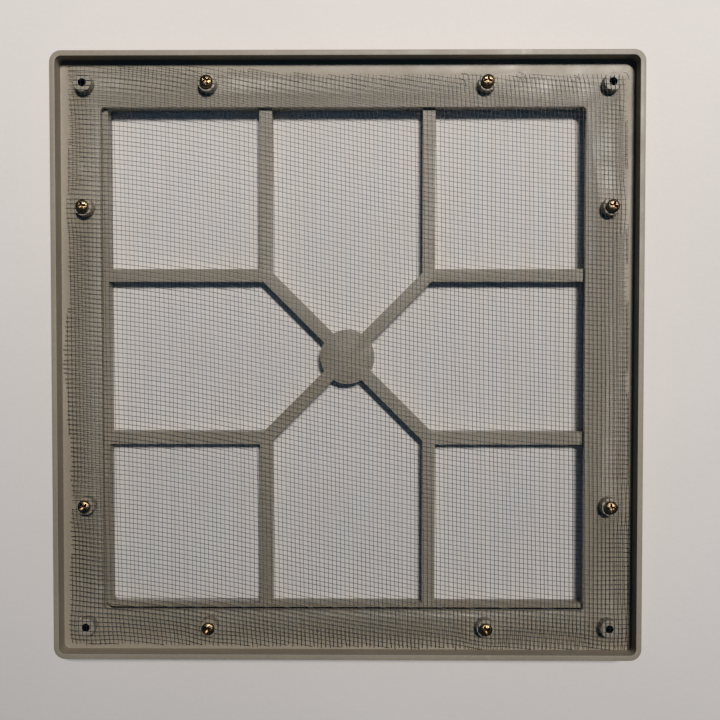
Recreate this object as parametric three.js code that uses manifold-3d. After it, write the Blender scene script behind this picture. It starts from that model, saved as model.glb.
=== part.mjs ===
// Ceiling air diffuser: a moulded border and grille core, with an insect mesh screwed to the back.
// Millimetres. +Z points out of the back (ceiling) side, and z = 0 is the room-side face of the
// grille. The origin is the middle of that face, X runs along the short side, Y along the long one.
import * as THREE from 'three';
import { mergeVertices } from 'three/addons/utils/BufferGeometryUtils.js';
import Module from 'manifold-3d';

const wasm = await Module();
wasm.setup();

// Border: an upright rim round a flat plate with one large opening.
const WIDTH = 203.6; // outside, along X
const LENGTH = 209.8; // outside, along Y
const CORNER_R = 4.0;
const RIM_T = 1.8; // thickness of the upright rim
const SKIN_Z = 5.9; // room side of the plate
const PLATE_Z = 8.1; // ceiling side of the plate
const RIM_Z = 14.0; // back edge of the rim, the face that meets the ceiling

const OPENING_X = 169.2;
const OPENING_Y = 176.4;
const OPENING_R = 1.4;
const SLIP_X = -1.5; // the opening is this far off the middle, so the core shows more on two sides
const SLIP_Y = -1.2;

// Grille core: a wall round one rectangular field, which bars, diagonals and a disc split up.
const CORE_Z = 5.8; // ceiling side of the core, just under the plate
const FIELD_X = 168.4; // clear width of the field between its walls
const FIELD_Y = 175.0;
const FIELD_R = 1.2;
const WALL_T = 3.0;
const GROOVE_IN = 1.4; // from the wall's inner face to the groove in its top
const GROOVE_W = 0.5;
const GROOVE_DEPTH = 2.5;
const BAR_W = 4.4;
const BAR_OFFSET = 28.7; // centre line of each bar from the middle
const DIAGONAL_W = 4.5;
const DISC_R = 9.6;

// Screw bosses stand on the plate.
const BOSS_X = 91.3; // the columns of bosses
const BOSS_Y = 94.6; // the rows of bosses
const ROW_SCREW_X = 48.3; // screws on the rows, from the middle
const COLUMN_SCREW_Y = 52.0; // screws on the columns, from the middle
const BOSS_H = 3.8;
const BOSS_BASE_R = 3.3;
const BOSS_TOP_R = 3.05;
const HOLE_R = 1.4;
const HOLE_FLOOR_Z = 6.9; // bottom of the bores that take mesh screws

// Insect mesh, a plain sheet clamped between the bosses and the screw heads.
const GAP = 0.15; // clearance to the boss below and the head above
const MESH_T = 0.3;
const MESH_X = 197.0;
const MESH_Y = 202.6;
const MESH_R = 1.5;
const MESH_HOLE_R = 1.4; // pierced by a screw

// Pan-head screws with a cross recess.
const HEAD_R = 2.25;
const HEAD_H = 1.35;
const HEAD_RIM_H = 0.45; // height of the head's edge, below its dome
const SHANK_R = 1.05;
const SHANK_L = 4.6;
const TIP_L = 0.9;
const CROSS_SPAN = 2.5;
const CROSS_SLOT = 0.55;
const CROSS_DEPTH = 0.8;

const BOSS_TOP_Z = PLATE_Z + BOSS_H;
const MESH_Z = BOSS_TOP_Z + GAP;
const HEAD_Z = MESH_Z + MESH_T + GAP;
const CUT = 1.0; // how far a cutting solid runs past the face it opens
const ROUND = 28; // sides of a small round
const CORNER_STEPS = 6; // facets round a corner
const WELD = 1e-4; // points closer than this are one point
const SCREW_TURN = 0.7; // each screw stopped at a different angle, this much past the last

function solid(geometry) {
  geometry.deleteAttribute('normal');
  geometry.deleteAttribute('uv');
  const merged = mergeVertices(geometry, WELD);
  const data = { numProp: 3 };
  data.vertProperties = Float32Array.from(merged.attributes.position.array);
  data.triVerts = Uint32Array.from(merged.index.array);
  return new wasm.Manifold(new wasm.Mesh(data));
}

function geometryOf(body) {
  const found = body.getMesh();
  const geometry = new THREE.BufferGeometry();
  geometry.setAttribute('position', new THREE.BufferAttribute(found.vertProperties, found.numProp));
  geometry.setIndex(new THREE.BufferAttribute(found.triVerts, 1));
  geometry.computeVertexNormals();
  return geometry;
}

function roundedRectangle(width, length, radius) {
  const x = width / 2 - radius;
  const y = length / 2 - radius;
  const shape = new THREE.Shape();
  shape.absarc(x, y, radius, 0, Math.PI / 2);
  shape.absarc(-x, y, radius, Math.PI / 2, Math.PI);
  shape.absarc(-x, -y, radius, Math.PI, 1.5 * Math.PI);
  shape.absarc(x, -y, radius, 1.5 * Math.PI, 2 * Math.PI);
  shape.closePath();
  return shape;
}

function slab(width, length, radius, bottom, top, x = 0, y = 0) {
  const outline = roundedRectangle(width, length, radius);
  const options = { depth: top - bottom, bevelEnabled: false, curveSegments: CORNER_STEPS };
  return solid(new THREE.ExtrudeGeometry(outline, options).translate(x, y, bottom));
}

function box(width, length, bottom, top, x, y, turn = 0) {
  const geometry = new THREE.BoxGeometry(width, length, top - bottom);
  return solid(geometry.rotateZ(turn).translate(x, y, (bottom + top) / 2));
}

function round(radius, bottom, top, x, y, topRadius = radius, sides = ROUND) {
  const geometry = new THREE.CylinderGeometry(topRadius, radius, top - bottom, sides);
  return solid(geometry.rotateX(Math.PI / 2).translate(x, y, (bottom + top) / 2));
}

// The four corner bosses are bored right through for the fasteners that hold the diffuser up. The
// other eight hold the mesh.
const cornerBosses = [];
const screwBosses = [];
for (const sideY of [1, -1]) {
  for (const sideX of [-1, 1]) {
    cornerBosses.push([sideX * BOSS_X, sideY * BOSS_Y]);
    screwBosses.push([sideX * ROW_SCREW_X, sideY * BOSS_Y]);
    screwBosses.push([sideX * BOSS_X, sideY * COLUMN_SCREW_Y]);
  }
}

function frameMoulding() {
  const inside = slab(WIDTH - 2 * RIM_T, LENGTH - 2 * RIM_T, CORNER_R - RIM_T, PLATE_Z, RIM_Z + CUT);
  const opening = slab(OPENING_X, OPENING_Y, OPENING_R, SKIN_Z - CUT, PLATE_Z + CUT, SLIP_X, SLIP_Y);
  let body = slab(WIDTH, LENGTH, CORNER_R, SKIN_Z, RIM_Z).subtract(inside).subtract(opening);
  for (const [x, y] of [...cornerBosses, ...screwBosses]) {
    const isCorner = Math.abs(x) === BOSS_X && Math.abs(y) === BOSS_Y;
    const floor = isCorner ? SKIN_Z - CUT : HOLE_FLOOR_Z;
    body = body
      .add(round(BOSS_BASE_R, SKIN_Z + CUT, BOSS_TOP_Z, x, y, BOSS_TOP_R))
      .subtract(round(HOLE_R, floor, BOSS_TOP_Z + CUT, x, y));
  }
  return body;
}

// A rectangle as much larger than the field as this, on every side.
function aroundField(margin, bottom, top) {
  return slab(FIELD_X + 2 * margin, FIELD_Y + 2 * margin, FIELD_R + margin, bottom, top);
}

function coreWall() {
  const groove = aroundField(GROOVE_IN + GROOVE_W, CORE_Z - GROOVE_DEPTH, CORE_Z + CUT)
    .subtract(aroundField(GROOVE_IN, CORE_Z - GROOVE_DEPTH - CUT, CORE_Z + 2 * CUT));
  return aroundField(WALL_T, 0, CORE_Z)
    .subtract(aroundField(0, -CUT, CORE_Z + CUT))
    .subtract(groove);
}

function grilleCore() {
  let core = coreWall().add(round(DISC_R, 0, CORE_Z, 0, 0, DISC_R, 2 * ROUND));
  const reachX = (FIELD_X + GROOVE_IN) / 2 - BAR_OFFSET + BAR_W / 2;
  const reachY = (FIELD_Y + GROOVE_IN) / 2 - BAR_OFFSET + BAR_W / 2;
  for (const sideY of [1, -1]) {
    for (const sideX of [-1, 1]) {
      const x = sideX * BAR_OFFSET;
      const y = sideY * BAR_OFFSET;
      const alongX = x + sideX * (reachX - BAR_W) / 2;
      const alongY = y + sideY * (reachY - BAR_W) / 2;
      const slope = sideX * sideY * Math.PI / 4;
      core = core
        .add(box(BAR_W, reachY, 0, CORE_Z, x, alongY))
        .add(box(reachX, BAR_W, 0, CORE_Z, alongX, y))
        .add(box(Math.hypot(x, y), DIAGONAL_W, 0, CORE_Z, x / 2, y / 2, slope));
    }
  }
  return core;
}

function insectMesh() {
  let sheet = slab(MESH_X, MESH_Y, MESH_R, MESH_Z, MESH_Z + MESH_T);
  for (const [x, y] of screwBosses) {
    sheet = sheet.subtract(round(MESH_HOLE_R, MESH_Z - CUT, MESH_Z + MESH_T + CUT, x, y));
  }
  return sheet;
}

// A screw about its own axis, with the underside of its head at z = 0.
function panScrew() {
  const profile = [
    new THREE.Vector2(0, -SHANK_L),
    new THREE.Vector2(SHANK_R, TIP_L - SHANK_L),
    new THREE.Vector2(SHANK_R, 0),
    new THREE.Vector2(HEAD_R, 0),
    new THREE.Vector2(HEAD_R, HEAD_RIM_H),
  ];
  const domeSteps = 5;
  for (let step = 1; step <= domeSteps; step += 1) {
    const angle = (step / domeSteps) * Math.PI / 2;
    const rise = (HEAD_H - HEAD_RIM_H) * Math.sin(angle);
    profile.push(new THREE.Vector2(HEAD_R * Math.cos(angle), HEAD_RIM_H + rise));
  }
  profile[profile.length - 1].x = 0;
  const body = solid(new THREE.LatheGeometry(profile, ROUND).rotateX(Math.PI / 2));
  const slot = box(CROSS_SPAN, CROSS_SLOT, HEAD_H - CROSS_DEPTH, HEAD_H + CUT, 0, 0);
  const crossSlot = box(CROSS_SLOT, CROSS_SPAN, HEAD_H - CROSS_DEPTH, HEAD_H + CUT, 0, 0);
  return body.subtract(slot.add(crossSlot));
}

function part(name, body, colour, roughness, metalness) {
  const material = new THREE.MeshStandardMaterial({ color: colour, roughness, metalness });
  const mesh = new THREE.Mesh(geometryOf(body), material);
  mesh.name = name;
  return mesh;
}

const diffuser = new THREE.Group();
diffuser.add(part('frame_moulding', frameMoulding(), 0x8f8470, 0.55, 0));
diffuser.add(part('grille_core', grilleCore(), 0x8f8470, 0.55, 0));
diffuser.add(part('insect_mesh', insectMesh(), 0x3c3f40, 0.7, 0));

const screwBody = panScrew();
screwBosses.forEach(([x, y], index) => {
  const screw = part(`mesh_screw_${index + 1}`, screwBody, 0xb08a45, 0.3, 1);
  screw.position.set(x, y, HEAD_Z);
  screw.rotation.z = index * SCREW_TURN;
  diffuser.add(screw);
});

export default diffuser;
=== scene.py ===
"""Looks for the ceiling air diffuser: a moulded border and grille core lying face down, with a
woven insect mesh screwed over the back. Lengths named below are in millimetres and are turned into
Blender's metres by MM. The frame of reference is the CAD one: +Z is the ceiling side."""
import math

import bmesh
import bpy
import numpy as np
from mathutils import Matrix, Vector


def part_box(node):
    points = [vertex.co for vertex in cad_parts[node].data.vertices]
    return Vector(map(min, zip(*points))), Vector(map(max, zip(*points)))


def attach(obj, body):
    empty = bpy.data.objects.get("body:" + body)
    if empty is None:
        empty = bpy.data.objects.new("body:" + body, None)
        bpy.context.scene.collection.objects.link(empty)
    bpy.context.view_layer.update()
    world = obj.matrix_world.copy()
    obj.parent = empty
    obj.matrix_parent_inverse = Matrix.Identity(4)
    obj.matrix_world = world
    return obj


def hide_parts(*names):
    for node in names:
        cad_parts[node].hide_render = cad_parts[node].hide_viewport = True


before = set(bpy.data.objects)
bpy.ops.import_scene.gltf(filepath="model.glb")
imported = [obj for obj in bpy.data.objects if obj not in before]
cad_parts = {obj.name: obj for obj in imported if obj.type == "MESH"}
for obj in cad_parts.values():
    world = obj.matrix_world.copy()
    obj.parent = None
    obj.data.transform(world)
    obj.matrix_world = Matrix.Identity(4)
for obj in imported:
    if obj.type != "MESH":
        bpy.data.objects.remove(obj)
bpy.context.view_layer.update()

MM = 0.001

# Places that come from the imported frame, in millimetres.
SCREWS = [f"mesh_screw_{number}" for number in range(1, 9)]


def middle(node):
    low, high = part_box(node)
    return (low + high) / (2 * MM)


def corners(node):
    """The low and the high corner of a node's box."""
    return [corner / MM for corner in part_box(node)]


screw_places = [middle(name) for name in SCREWS]
screw_low, screw_high = corners(SCREWS[0])
mesh_low, mesh_high = corners("insect_mesh")
core_low, core_high = corners("grille_core")
frame_high = corners("frame_moulding")[1]
BOSS_X = max(place.x for place in screw_places)
BOSS_Y = max(place.y for place in screw_places)
corner_bosses = [Vector((sx * BOSS_X, sy * BOSS_Y, 0)) for sx in (-1, 1) for sy in (-1, 1)]
bosses = screw_places + corner_bosses
CLOTH_Z = (mesh_low.z + mesh_high.z) / 2  # the mesh where the bosses hold it up

# Sizes of the CAD part that its boxes don't give.
WALL_T = 3.0  # the wall round the core's field
FIELD_X = core_high.x - WALL_T  # half the grille's clear field
FIELD_Y = core_high.y - WALL_T
RIM_T = 1.8
PLATE_Z = 8.1  # ceiling side of the border's plate
CORNER_R = 4.0  # outside corners of the rim
BORE_R = 1.4
BOSS_TOP_R = 3.05
BOSS_TOP_Z = 11.9


# ---------------------------------------------------------------- camera, floor and light

CAMERA_PLACE = (0.00723, 0.00695, 0.3231)  # metres, nearly over the middle
CAMERA_TURN = (-1.453, 0.500, 0.027)  # degrees
LENS = 45.0
FLOOR_REACH = 1.5  # metres each way
FLOOR_GAP = 0.05  # so that the floor and the grille's face don't share a plane
TOE = ((0.02, 0.009), (0.06, 0.046), (0.15, 0.145), (0.5, 0.5))  # light, and what is shown for it


def make_camera():
    data = bpy.data.cameras.new("camera")
    data.sensor_width = 36.0
    data.lens = LENS
    data.clip_start = 0.01
    data.clip_end = 20.0
    camera = bpy.data.objects.new("camera", data)
    camera.location = CAMERA_PLACE
    camera.rotation_euler = [math.radians(turn) for turn in CAMERA_TURN]
    bpy.context.scene.collection.objects.link(camera)
    bpy.context.scene.camera = camera


def make_floor():
    bm = bmesh.new()
    bmesh.ops.create_grid(bm, x_segments=8, y_segments=8, size=FLOOR_REACH)
    floor = add_object("floor", to_mesh(bm, "floor"), floor_material())
    floor.location.z = -FLOOR_GAP * MM


def area_light(name, place, aim, size, power, colour, spread):
    data = bpy.data.lights.new(name, "AREA")
    data.shape = "RECTANGLE"
    data.size, data.size_y = size
    data.energy = power
    data.color = colour
    data.spread = math.radians(spread)
    lamp = bpy.data.objects.new(name, data)
    lamp.location = place
    away = Vector(place) - Vector(aim)
    lamp.rotation_euler = away.to_track_quat("Z", "Y").to_euler()
    bpy.context.scene.collection.objects.link(lamp)


def make_lights():
    """One strip window of light from the upper right, and a weak cool room around it."""
    up = 4.0
    place = (0.17 * up, 0.37 * up, up)
    aim = (-0.04, 0.33, 0)
    size = (0.35 * up, 0.07 * up)
    area_light("window", place, aim, size, power=4.1, colour=(1.0, 0.955, 0.91), spread=21.5)
    world = bpy.data.worlds.new("room")
    world.use_nodes = True
    background = world.node_tree.nodes["Background"]
    background.inputs["Color"].default_value = (0.26, 0.57, 1.0, 1)
    background.inputs["Strength"].default_value = 0.095
    bpy.context.scene.world = world


def set_tone():
    """A plain view with a short toe, so that the deep shadows close up as they do to a camera."""
    view = bpy.context.scene.view_settings
    view.view_transform = "Standard"
    view.use_curve_mapping = True
    all_channels = view.curve_mapping.curves[3]
    for light, shown in TOE:
        all_channels.points.new(light, shown)
    view.curve_mapping.update()


# ---------------------------------------------------------------- materials

def new_material(name):
    material = bpy.data.materials.new(name)
    material.use_nodes = True
    tree = material.node_tree
    return material, tree, tree.nodes["Principled BSDF"]


def noise(tree, scale, detail=4.0, roughness=0.55, stretch=None):
    """A noise node on the object's own coordinates; scale is features per metre."""
    place = tree.nodes.new("ShaderNodeTexCoord")
    texture = tree.nodes.new("ShaderNodeTexNoise")
    texture.inputs["Scale"].default_value = scale
    texture.inputs["Detail"].default_value = detail
    texture.inputs["Roughness"].default_value = roughness
    if stretch:
        mapping = tree.nodes.new("ShaderNodeMapping")
        mapping.inputs["Scale"].default_value = stretch
        tree.links.new(place.outputs["Object"], mapping.inputs["Vector"])
        tree.links.new(mapping.outputs["Vector"], texture.inputs["Vector"])
    else:
        tree.links.new(place.outputs["Object"], texture.inputs["Vector"])
    return texture.outputs["Fac"]


def ramp(tree, value, stops):
    """A colour ramp; stops are (position, colour or grey)."""
    node = tree.nodes.new("ShaderNodeValToRGB")
    elements = node.color_ramp.elements
    while len(elements) < len(stops):
        elements.new(0.5)
    for element, (position, colour) in zip(elements, stops):
        element.position = position
        element.color = (colour,) * 3 + (1,) if isinstance(colour, float) else (*colour, 1)
    tree.links.new(value, node.inputs["Fac"])
    return node.outputs["Color"]


def mix(tree, factor, first, second, blend="MIX"):
    node = tree.nodes.new("ShaderNodeMix")
    node.data_type = "RGBA"
    node.blend_type = blend
    for socket, value in (("Factor", factor), ("A", first), ("B", second)):
        target = next(s for s in node.inputs if s.name == socket and s.enabled)
        if isinstance(value, bpy.types.NodeSocket):
            tree.links.new(value, target)
        elif isinstance(value, tuple):
            target.default_value = (*value, 1)
        else:
            target.default_value = value
    return next(s for s in node.outputs if s.enabled)


def bump(tree, shader, height, distance, strength=1.0):
    node = tree.nodes.new("ShaderNodeBump")
    node.inputs["Strength"].default_value = strength
    node.inputs["Distance"].default_value = distance
    tree.links.new(height, node.inputs["Height"])
    tree.links.new(node.outputs["Normal"], shader.inputs["Normal"])


def floor_material():
    material, tree, shader = new_material("pale_floor")
    wide = ramp(tree, noise(tree, 7.0, 3.0), [(0.3, (0.80, 0.755, 0.715)), (0.7, (0.84, 0.795, 0.755))])
    fine = ramp(tree, noise(tree, 900.0, 5.0), [(0.3, 0.975), (0.7, 1.0)])
    tree.links.new(mix(tree, 1.0, wide, fine, "MULTIPLY"), shader.inputs["Base Color"])
    shader.inputs["Roughness"].default_value = 0.9
    shader.inputs["Specular IOR Level"].default_value = 0.2
    bump(tree, shader, noise(tree, 260.0, 6.0), 0.0001)
    return material


def bore_material():
    """The same plastic inside a bore or the groove, painted near black as the shade in these deep hollows.
    """
    material, tree, shader = new_material("painted_shade_bore")
    # painted shade: near black inside the bores and the -Y groove
    bore_shade = ramp(tree, noise(tree, 800.0, 4.0), [(0.3, (0.016, 0.016, 0.022)), (0.7, (0.040, 0.038, 0.044))])
    tree.links.new(bore_shade, shader.inputs["Base Color"])
    shader.inputs["Roughness"].default_value = 0.9
    shader.inputs["Specular IOR Level"].default_value = 0.2
    return material


def plastic_material():
    """Greige moulding: cloudy pigment, fine moulded grain, pale scuffs, and dust that lights its edges."""
    material, tree, shader = new_material("greige_plastic")
    cloud = ramp(tree, noise(tree, 28.0, 5.0), [(0.3, (0.296, 0.255, 0.194)), (0.7, (0.344, 0.297, 0.228))])
    speck = ramp(tree, noise(tree, 1400.0, 3.0), [(0.35, 0.90), (0.62, 1.0)])
    pigment = mix(tree, 1.0, cloud, speck, "MULTIPLY")
    scuff = ramp(tree, noise(tree, 160.0, 7.0, 0.72, (1.0, 0.35, 1.0)), [(0.60, 0.0), (0.70, 0.35)])
    worn = mix(tree, scuff, pigment, (0.52, 0.48, 0.41))
    tree.links.new(worn, shader.inputs["Base Color"])
    gloss = ramp(tree, noise(tree, 90.0, 5.0), [(0.3, 0.40), (0.7, 0.55)])
    tree.links.new(gloss, shader.inputs["Roughness"])
    bump(tree, shader, noise(tree, 2600.0, 3.0), 0.00003, 0.6)
    shader.inputs["Sheen Weight"].default_value = 0.2
    shader.inputs["Sheen Roughness"].default_value = 0.35
    return material


def strand_material():
    """Vinyl-coated fibreglass: blue-grey with paler rubbed lengths."""
    material, tree, shader = new_material("coated_fibreglass")
    tone = ramp(tree, noise(tree, 420.0, 3.0), [(0.3, (0.034, 0.052, 0.065)), (0.75, (0.062, 0.088, 0.105))])
    tree.links.new(tone, shader.inputs["Base Color"])
    gloss = ramp(tree, noise(tree, 700.0, 2.0), [(0.3, 0.28), (0.7, 0.45)])
    tree.links.new(gloss, shader.inputs["Roughness"])
    bump(tree, shader, noise(tree, 5000.0, 2.0), 0.00001, 0.5)
    return material


def zinc_material():
    """Yellow zinc plate: dull gold in clouds, brown where it has tarnished, and slightly pitted."""
    material, tree, shader = new_material("yellow_zinc")
    tints = [(0.3, (0.36, 0.23, 0.12)), (0.5, (0.53, 0.42, 0.25)), (0.7, (0.65, 0.59, 0.44))]
    tint = ramp(tree, noise(tree, 900.0, 3.0), tints)
    tarnish = ramp(tree, noise(tree, 1300.0, 4.0, 0.65), [(0.47, 0.8), (0.60, 0.0)])
    tree.links.new(mix(tree, tarnish, tint, (0.24, 0.145, 0.08)), shader.inputs["Base Color"])
    shader.inputs["Metallic"].default_value = 1.0
    gloss = ramp(tree, noise(tree, 2200.0, 4.0), [(0.3, 0.22), (0.7, 0.36)])
    tree.links.new(gloss, shader.inputs["Roughness"])
    bump(tree, shader, noise(tree, 1800.0, 3.0), 0.00005, 0.7)
    return material


def recess_material():
    """The bottom of a screw's recess, painted dark brown as the shade that gathers in it."""
    material, tree, shader = new_material("painted_shade_recess")
    # painted shade: dark brown metal deep in the cross recess
    tint = ramp(tree, noise(tree, 1500.0, 3.0), [(0.35, (0.11, 0.06, 0.035)), (0.65, (0.26, 0.17, 0.09))])
    tree.links.new(tint, shader.inputs["Base Color"])
    shader.inputs["Metallic"].default_value = 1.0
    gloss = ramp(tree, noise(tree, 2200.0, 4.0), [(0.3, 0.30), (0.7, 0.45)])
    tree.links.new(gloss, shader.inputs["Roughness"])
    return material


# ---------------------------------------------------------------- shared mesh helpers

WELD = 0.002  # points closer than this are one point
CLOSE = 0.1  # near enough to count as lying on a face or a round


def to_mesh(bm, name):
    """A new mesh of what bmesh has built."""
    mesh = bpy.data.meshes.new(name)
    bm.to_mesh(mesh)
    bm.free()
    return mesh


def add_object(name, mesh, material):
    mesh.materials.clear()
    mesh.materials.append(material)
    piece = bpy.data.objects.new(name, mesh)
    bpy.context.scene.collection.objects.link(piece)
    return piece


def apply_modifiers(piece):
    graph = bpy.context.evaluated_depsgraph_get()
    final = bpy.data.meshes.new_from_object(piece.evaluated_get(graph), depsgraph=graph)
    piece.modifiers.clear()
    piece.data = final


def smooth_by_angle(mesh, degrees):
    """Smooth shading, with the edges sharper than this angle kept as edges."""
    mesh.shade_smooth()
    mesh.set_sharp_from_angle(angle=math.radians(degrees))


def drop_slivers(mesh, size):
    """Take out the faces that have no width, which a cut and a bevel can leave."""
    bm = bmesh.new()
    bm.from_mesh(mesh)
    bmesh.ops.remove_doubles(bm, verts=bm.verts, dist=size)
    bmesh.ops.dissolve_degenerate(bm, dist=size, edges=bm.edges)
    bm.to_mesh(mesh)
    bm.free()


# ---------------------------------------------------------------- mouldings

EDGE_R = 0.3  # the small round on the border's edges
RIM_ROUND = 0.6  # the larger round along the outside of the rim's back edge
CORE_EDGE_R = 0.15
SILTED_DEPTH = 0.4  # what is left of the groove's depth where it has silted up
GROOVE_NEAR, GROOVE_FAR = 1.35, 1.95  # the groove in the core's wall lies between these, from the field
FLAT_ANGLE = math.radians(0.5)  # facets that meet more flatly than this are one face
SHARP_ANGLE = math.radians(30)  # edges sharper than this are rounded


def from_boss(place):
    """How far a place is from the axis of the nearest boss."""
    return min(math.hypot(place.x - boss.x, place.y - boss.y) for boss in bosses)


def at_height(ends, z):
    return all(abs(end.z - z) < WELD for end in ends)


def outside_rim(place):
    """True on the rim's outer face, round its corners as well."""
    short_x = frame_high.x - abs(place.x)
    short_y = frame_high.y - abs(place.y)
    in_corner = max(short_x, short_y) < CORNER_R + CLOSE
    return in_corner or min(short_x, short_y) < CLOSE


def wide_edge(ends):
    """True for an edge that is rounded more: round a boss's top, and outside the rim's back face."""
    round_top = at_height(ends, BOSS_TOP_Z) and abs(from_boss(ends[0]) - BOSS_TOP_R) < 2 * CLOSE
    return round_top or at_height(ends, frame_high.z) and all(outside_rim(end) for end in ends)


def in_bore(place):
    """True inside one of the twelve bosses' bores."""
    return from_boss(place) < BORE_R + CLOSE / 2 and place.z < BOSS_TOP_Z - EDGE_R


def in_groove(place):
    """True inside the groove in the top of the core's wall."""
    out = max(abs(place.x) - FIELD_X, abs(place.y) - FIELD_Y)
    deep = core_low.z + CLOSE < place.z < core_high.z - CORE_EDGE_R
    return deep and GROOVE_NEAR < out < GROOVE_FAR


def in_painted_shade_groove(place):
    """True inside the groove on the -Y side, where the groove's shade is painted dark."""
    return place.y < -FIELD_Y and in_groove(place)


def fill_groove(bm):
    """Silt up the groove on the -X side, where it shows as no more than a faint line."""
    for vert in bm.verts:
        place = vert.co / MM
        if place.x < -FIELD_X - GROOVE_NEAR and in_groove(place):
            vert.co.z = (core_high.z - SILTED_DEPTH) * MM


def make_moulding(name, node, edge_r, is_wide, is_painted_shade, finishes):
    """A CAD moulding with its facets joined up and every edge rounded as a mould leaves it."""
    bm = bmesh.new()
    bm.from_mesh(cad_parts[node].data)
    bmesh.ops.remove_doubles(bm, verts=bm.verts, dist=WELD * MM)
    fill_groove(bm)
    bmesh.ops.dissolve_limit(bm, angle_limit=FLAT_ANGLE, verts=bm.verts, edges=bm.edges)
    bmesh.ops.triangulate(bm, faces=bm.faces)
    weight = bm.edges.layers.float.new("bevel_weight_edge")
    for edge in bm.edges:
        if len(edge.link_faces) == 2 and edge.calc_face_angle(0) > SHARP_ANGLE:
            wide = is_wide([vert.co / MM for vert in edge.verts])
            edge[weight] = 1.0 if wide else edge_r / RIM_ROUND
    piece = add_object(name, to_mesh(bm, name), finishes[0])
    bevel = piece.modifiers.new("rounds", "BEVEL")
    bevel.limit_method = "WEIGHT"
    bevel.width = RIM_ROUND * MM
    bevel.segments = 3
    bevel.use_clamp_overlap = True
    apply_modifiers(piece)
    smooth_by_angle(piece.data, 35)
    piece.data.materials.append(finishes[1])
    for face in piece.data.polygons:
        # faces in the bores and the -Y groove take the painted shade
        face.material_index = 1 if is_painted_shade(face.center / MM) else 0
    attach(piece, "root")
    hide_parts(node)


def make_mouldings():
    finishes = (plastic_material(), bore_material())
    make_moulding("diffuser_border", "frame_moulding", EDGE_R, wide_edge, in_bore, finishes)
    make_moulding("grille", "grille_core", CORE_EDGE_R, lambda ends: False, in_painted_shade_groove, finishes)


# ---------------------------------------------------------------- woven insect mesh

WARP_PITCH = 1.44  # strands that run along Y
WEFT_PITCH = 1.63  # strands that run along X
PITCH_SLIP = 0.07  # how far a strand has slipped from its pitch
STRAND_D = 0.162
STRAND_SIDES = 3
STRAND_R = 0.575 * STRAND_D  # to the corners of the three-sided strand, so that it looks as wide
CROSSING = 0.42 * STRAND_D  # how far a strand goes over or under at a crossing
SEED = 20

SCREW_HOLE_R = 1.3  # strands are broken this near a screw
TENT_R = 3.2  # the flat on each boss that carries the mesh
TENT_RUN = 5.0  # how far out from that flat the cloth still rises
DROOP_START = 1.0  # beyond the field's edge
DROOP_RUN = 14.0
RIPPLE = 0.12
LOW_Z = PLATE_Z + 0.9  # the middle of the cloth where it lies lowest
HALF_WIDTH = 98.4  # of the cloth, over which the weft's drop is given
WOVEN_X, WOVEN_Y = 110, 135  # the cloth is woven this far each way, and then cut
CUT_SLOPE = 310.0  # the mesh was cut a little smaller where it stands high on the bosses
MOST_X = frame_high.x - RIM_T - 0.4  # the cut keeps this clear of the rim's walls
MOST_Y = frame_high.y - RIM_T - 0.4
FRAY = 0.25  # how unevenly the strands were cut
LOOSE_X = np.array([42.0, 61.5, 80.0, 96.0])  # loose threads along the upper edge
LOOSE_Y = 95.0
WARP_GROWTH = (0.24, -0.20)  # how much thicker the warp gets from the middle to +X, and to +Y
WEFT_GROWTH = (-0.18, -0.14)

random = np.random.RandomState(SEED)


def weft_drop(x):
    """How far the weft has dropped at x: it was laid askew, steepest left of the middle."""
    s = x / HALF_WIDTH
    return HALF_WIDTH * (0.1975 * s - 0.0455 * s**2 - 0.0525 * s**3 + 0.033 * s**4)


def cloth_height(x, y):
    """Height of the middle of the cloth: level over the field, down to the border outside it."""
    out_x = np.clip(np.abs(x) - FIELD_X - DROOP_START, 0, None) / DROOP_RUN
    out_y = np.clip(np.abs(y) - FIELD_Y - DROOP_START, 0, None) / DROOP_RUN
    out = np.clip(np.hypot(out_x, out_y), 0, 1)
    level = CLOTH_Z - (CLOTH_Z - LOW_Z) * out * out * (3 - 2 * out)
    level = level + RIPPLE * np.sin(x / 17 + 1) * np.sin(y / 21 + 2)
    for boss in bosses:
        reach = np.hypot(x - boss.x, y - boss.y)
        held = np.exp(-((np.clip(reach - TENT_R, 0, None) / TENT_RUN) ** 2))
        level = level + (CLOTH_Z - level) * held
    return level


def cloth_place(u, v):
    """Where the flat cloth's point (u, v) lies, after skew and handling."""
    x = u - 0.011 * v + 0.10 * np.sin(v / 31 + u / 13) + 0.07 * np.sin(v / 9.7 + 2 + u / 5)
    y = v - weft_drop(x) + 0.12 * np.sin(x / 23 + v / 7)
    lean = np.clip(y - FIELD_Y, 0, None)
    x = x - 0.09 * lean * np.clip(x / 60, 0, 1)
    return x, y


def inside_cut(x, y, z):
    """True inside the mesh's hand-cut outline and clear of the holes that the screws make."""
    kept = np.ones(np.shape(x), dtype=bool)
    for place in screw_places:
        kept &= np.hypot(x - place.x, y - place.y) > SCREW_HOLE_R
    fuller = 1 + (z - LOW_Z) / CUT_SLOPE
    x, y = x * fuller, y * fuller
    top = 99.4 - 1.7 * np.tanh((x + 30) / 22) + 0.25 * np.sin(x / 3.1)
    bottom = np.maximum(-102.1 - 0.011 * x + 0.25 * np.sin(x / 4.3), -MOST_Y)
    left = -97.2 - 2.2 * np.exp(-(((y - 3) / 14) ** 2)) + 0.5 * np.sin(y / 11) + 0.3 * np.sin(y / 2.9)
    right = np.minimum(98.1 - 0.016 * y + 0.3 * np.sin(y / 5.3), MOST_X)
    return kept & (y < top) & (y > bottom) & (x > left) & (x < right)


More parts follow.
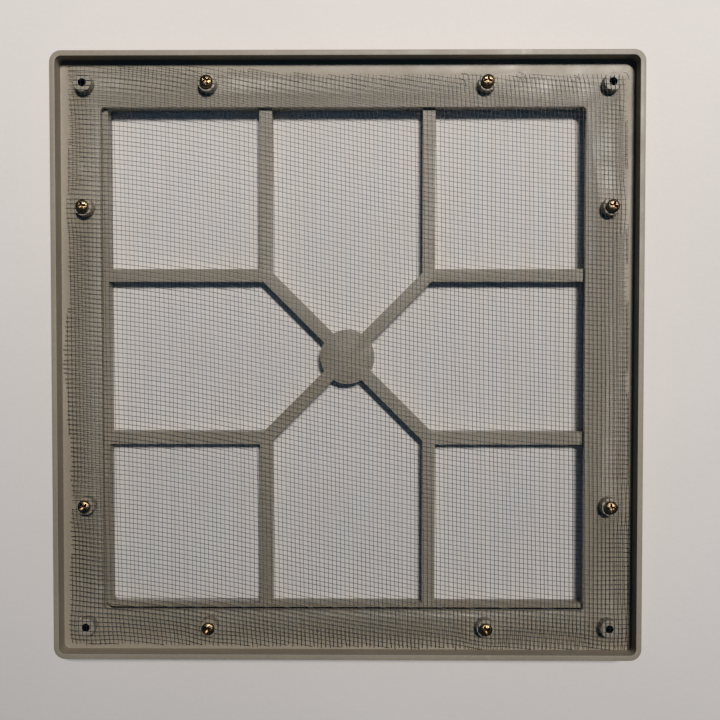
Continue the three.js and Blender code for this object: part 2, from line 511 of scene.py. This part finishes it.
def tube(path, radius):
    """Ring vertices and faces of one closed strand along a path, both in millimetres."""
    path = np.asarray(path)
    along = np.gradient(path, axis=0)
    along /= np.linalg.norm(along, axis=1, keepdims=True)
    side = np.cross(along, [0, 0, 1])
    side /= np.linalg.norm(side, axis=1, keepdims=True)
    up = np.cross(side, along)
    turns = math.pi / 2 + np.arange(STRAND_SIDES) * 2 * math.pi / STRAND_SIDES
    radius = np.broadcast_to(radius, len(path))[:, None]
    rings = [path + radius * (math.cos(t) * side + math.sin(t) * up) for t in turns]
    points = np.stack(rings, axis=1).reshape(-1, 3)
    count = len(path)
    faces = []
    for k in range(count - 1):
        base = k * STRAND_SIDES
        for s in range(STRAND_SIDES):
            t = (s + 1) % STRAND_SIDES
            faces.append((base + s, base + STRAND_SIDES + s, base + STRAND_SIDES + t, base + t))
    faces.append(tuple(range(STRAND_SIDES)))
    faces.append(tuple(reversed(range((count - 1) * STRAND_SIDES, count * STRAND_SIDES))))
    return points, faces


def run_on(path):
    """The path with both its ends run on to where the cloth was cut, and slightly frayed."""
    steps = np.linspace(0.1, WEFT_PITCH, 12)
    path = path.copy()
    for end, before in ((0, 1), (-1, -2)):
        tip = path[end].copy()
        way = tip - path[before]
        way /= np.linalg.norm(way)
        x, y = tip[0] + way[0] * steps, tip[1] + way[1] * steps
        clear = int(np.cumprod(inside_cut(x, y, cloth_height(x, y))).sum())
        reach = steps[max(clear - 1, 0)] + FRAY * random.uniform(0.0, 1.0)
        bend = np.array([random.normal(0, 0.12), random.normal(0, 0.12), random.uniform(-0.1, 0.25)])
        path[end] = tip + way * reach + bend * reach
    return path


def loose_threads():
    """A few warp ends that have slipped out of the cloth along its upper edge and curled over."""
    strands = []
    for x in LOOSE_X + random.normal(0, 0.5, len(LOOSE_X)):
        turn = np.linspace(0, random.uniform(1.5, 3.0), 10)
        size = random.uniform(1.4, 2.6)
        hook_x = x + random.choice([-1, 1]) * size * (1 - np.cos(turn))
        hook_y = LOOSE_Y + 1.3 * size * np.sin(turn)
        hook_z = cloth_height(hook_x, hook_y) + 0.25 + 0.25 * turn
        strands.append((np.stack([hook_x, hook_y, hook_z], axis=-1), STRAND_R))
    return strands


def weave():
    """Every strand of the cloth as a path of its crossings, warp first."""
    half_u = int(WOVEN_X / WARP_PITCH)
    half_v = int(WOVEN_Y / WEFT_PITCH)
    u = np.arange(-half_u, half_u + 1) * WARP_PITCH
    v = np.arange(-half_v, half_v + 1) * WEFT_PITCH
    u = u + random.normal(0, PITCH_SLIP, len(u))
    v = v + random.normal(0, PITCH_SLIP, len(v))
    grid_u, grid_v = np.meshgrid(u, v, indexing="ij")
    x, y = cloth_place(grid_u, grid_v)
    z = cloth_height(x, y)
    kept = inside_cut(x, y, z)
    over = np.where((np.add.outer(np.arange(len(u)), np.arange(len(v))) % 2) == 0, 1, -1)
    lift = CROSSING * over
    warp = np.stack([x, y, z + lift], axis=-1)
    weft = np.stack([x, y, z - lift], axis=-1)
    strands = []
    for points, inside, growth in ((warp, kept, WARP_GROWTH), (weft.swapaxes(0, 1), kept.T, WEFT_GROWTH)):
        for row, used in zip(points, inside):
            found = np.nonzero(used)[0]
            for run in np.split(found, np.nonzero(np.diff(found) > 1)[0] + 1):
                if len(run) > 2:
                    path = run_on(row[run])
                    strands.append((path, STRAND_R * (1 + path[:, :2] @ growth / mesh_high.y)))
    return strands


def make_insect_mesh():
    points, faces, start = [], [], 0
    for path, radius in weave() + loose_threads():
        ring, skin = tube(path, radius)
        points.append(ring)
        faces.extend(tuple(start + corner for corner in face) for face in skin)
        start += len(ring)
    mesh = bpy.data.meshes.new("insect_screen")
    mesh.from_pydata((np.vstack(points) * MM).tolist(), [], faces)
    mesh.shade_smooth()
    piece = add_object("insect_screen", mesh, strand_material())
    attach(piece, "root")
    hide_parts("insect_mesh")


# ---------------------------------------------------------------- screws

HEAD_R = 2.25
HEAD_H = 1.35
HEAD_EDGE_H = 0.42  # height of the head's edge, below its dome
HEAD_EDGE_R = 0.12  # the round under the head's edge
HEAD_EDGE_STEPS = 4
DOME_STEPS = 14
DOME_FALL = 0.85  # under 1, the dome stays broad and falls off late
SHANK_R = 0.82
THREAD_R = 1.05
THREAD_PITCH = 0.95
THREAD_STEPS = 12  # rings in each turn of the thread
CREST = 0.28  # half the thread's width, as a share of its pitch
PLAIN_L = 0.35  # the stretch without thread, under the head
TIP_L = 1.1
TIP_R = 0.12  # of the last ring, from which the point runs out
POINT_L = 0.1
SCREW_SIDES = 48
CROSS_SPAN = 3.3
CROSS_SLOT = 0.80
CROSS_EDGE = 0.15  # how far the recess's edges are rounded over
CROSS_DEPTH = 0.95
CROSS_LOW_REACH = 0.42  # from the axis to the end of a wing, at the bottom
CROSS_LOW_SHARE = 0.72  # how wide a wing is at the bottom, next to its width at the top
QUARTERS = ((1, 0), (0, 1), (-1, 0), (0, -1))  # the way that each wing points
RECESS_SHADE_TOP = 1.0  # above this the recess is not painted with its shade
LEAN = 0.03  # radians, how far a screw may stand out of true


def screw_rings(length):
    """(height, radius, how much of the thread shows) of each ring, from the tip to the dome."""
    rings = [(-length, TIP_R, 0.0)]
    steps = int(length / THREAD_PITCH * THREAD_STEPS)
    for k in range(1, steps + 1):
        z = -length + (length - PLAIN_L) * k / steps
        taper = min((z + length) / TIP_L, 1)
        rings.append((z, SHANK_R * taper, taper))
    rings += [(-0.12, SHANK_R, 0.0), (-0.03, SHANK_R + 0.1, 0.0), (0, HEAD_R - 0.2, 0.0)]
    for k in range(HEAD_EDGE_STEPS + 1):
        turn = k / HEAD_EDGE_STEPS * math.pi / 2
        radius = HEAD_R - HEAD_EDGE_R + HEAD_EDGE_R * math.sin(turn)
        rings.append((HEAD_EDGE_R - HEAD_EDGE_R * math.cos(turn), radius, 0.0))
    for k in range(DOME_STEPS):
        turn = k / DOME_STEPS * math.pi / 2
        z = HEAD_EDGE_H + (HEAD_H - HEAD_EDGE_H) * math.sin(turn)
        rings.append((z, HEAD_R * math.cos(turn) ** DOME_FALL, 0.0))
    return rings


def join_rings(bm, loops):
    """Faces between each ring of vertices and the next one up."""
    count = len(loops[0])
    for low, high in zip(loops, loops[1:]):
        for k in range(count):
            n = (k + 1) % count
            bm.faces.new((low[k], low[n], high[n], high[k]))


def screw_body(length):
    bm = bmesh.new()
    loops = []
    for z, radius, thread in screw_rings(length):
        loop = []
        for s in range(SCREW_SIDES):
            turn = 2 * math.pi * s / SCREW_SIDES
            phase = (z / THREAD_PITCH - s / SCREW_SIDES) % 1
            crest = max(0.0, 1 - abs(phase - 0.5) / CREST)
            grown = radius + (THREAD_R - SHANK_R) * thread * crest
            loop.append(bm.verts.new((grown * math.cos(turn), grown * math.sin(turn), z)))
        loops.append(loop)
    join_rings(bm, loops)
    tip = bm.verts.new((0, 0, -length - POINT_L))
    top = bm.verts.new((0, 0, HEAD_H))
    for s in range(SCREW_SIDES):
        t = (s + 1) % SCREW_SIDES
        bm.faces.new((loops[0][t], loops[0][s], tip))
        bm.faces.new((loops[-1][s], loops[-1][t], top))
    return to_mesh(bm, "screw_body")


def cross_cutter():
    """A tapered cross: four wings that narrow as they go down, as a driver's tip does."""
    bm = bmesh.new()
    wing = CROSS_SPAN / 2
    half = CROSS_SLOT / 2
    levels = (
        (HEAD_H - CROSS_DEPTH, CROSS_LOW_REACH, half * CROSS_LOW_SHARE),
        (HEAD_H - 0.25, wing - 0.12, half),
        (HEAD_H + 0.3, wing + 0.05, half),
    )
    loops = []
    for z, reach, slim in levels:
        arm = [(reach, -slim), (reach, slim), (slim, slim)]
        loop = []
        for c, s in QUARTERS:
            loop += [bm.verts.new((x * c - y * s, x * s + y * c, z)) for x, y in arm]
        loops.append(loop)
    join_rings(bm, loops)
    bm.faces.new(list(reversed(loops[0])))
    bm.faces.new(loops[-1])
    return to_mesh(bm, "cross_cutter")


def in_recess(place):
    """True inside the cross recess of the screw template, below where its painted shade stops."""
    deep = HEAD_H - CROSS_DEPTH - CLOSE < place.z < RECESS_SHADE_TOP
    return deep and math.hypot(place.x, place.y) < CROSS_SPAN / 2


def screw_template():
    """One screw about its own axis, in millimetres, with the underside of its head at z = 0."""
    length = screw_high.z - HEAD_H - screw_low.z - POINT_L
    finish = zinc_material()
    recess_shade = recess_material()
    cutter = add_object("cross_cutter", cross_cutter(), finish)
    template = add_object("screw_template", screw_body(length), finish)
    cut = template.modifiers.new("cross", "BOOLEAN")
    cut.operation = "DIFFERENCE"
    cut.solver = "EXACT"
    cut.object = cutter
    bpy.context.view_layer.update()
    edge = template.modifiers.new("worn", "BEVEL")
    edge.width = CROSS_EDGE
    edge.segments = 2
    edge.limit_method = "ANGLE"
    edge.angle_limit = math.radians(38)
    apply_modifiers(template)
    bpy.data.objects.remove(cutter)
    drop_slivers(template.data, WELD)
    smooth_by_angle(template.data, 50)
    template.data.materials.append(recess_shade)
    for face in template.data.polygons:
        # the deep faces of the recess take the painted shade
        face.material_index = 1 if in_recess(face.center) else 0
    return template


def make_screws():
    """Eight copies of the template, each stopped at its own angle and a little out of true."""
    template = screw_template()
    head_z = screw_high.z - HEAD_H
    for index, (name, place) in enumerate(zip(SCREWS, screw_places)):
        piece = bpy.data.objects.new(f"pan_screw_{index + 1}", template.data.copy())
        bpy.context.scene.collection.objects.link(piece)
        piece.location = Vector((place.x, place.y, head_z)) * MM
        lean = (LEAN * math.sin(index * 2.1), LEAN * math.cos(index * 1.7))
        piece.rotation_euler = (*lean, 0.45 + index * 1.3)
        piece.scale = (MM, MM, MM)
        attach(piece, "root")
        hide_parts(name)
    bpy.data.objects.remove(template)


make_camera()
make_floor()
make_lights()
set_tone()
make_mouldings()
make_insect_mesh()
make_screws()
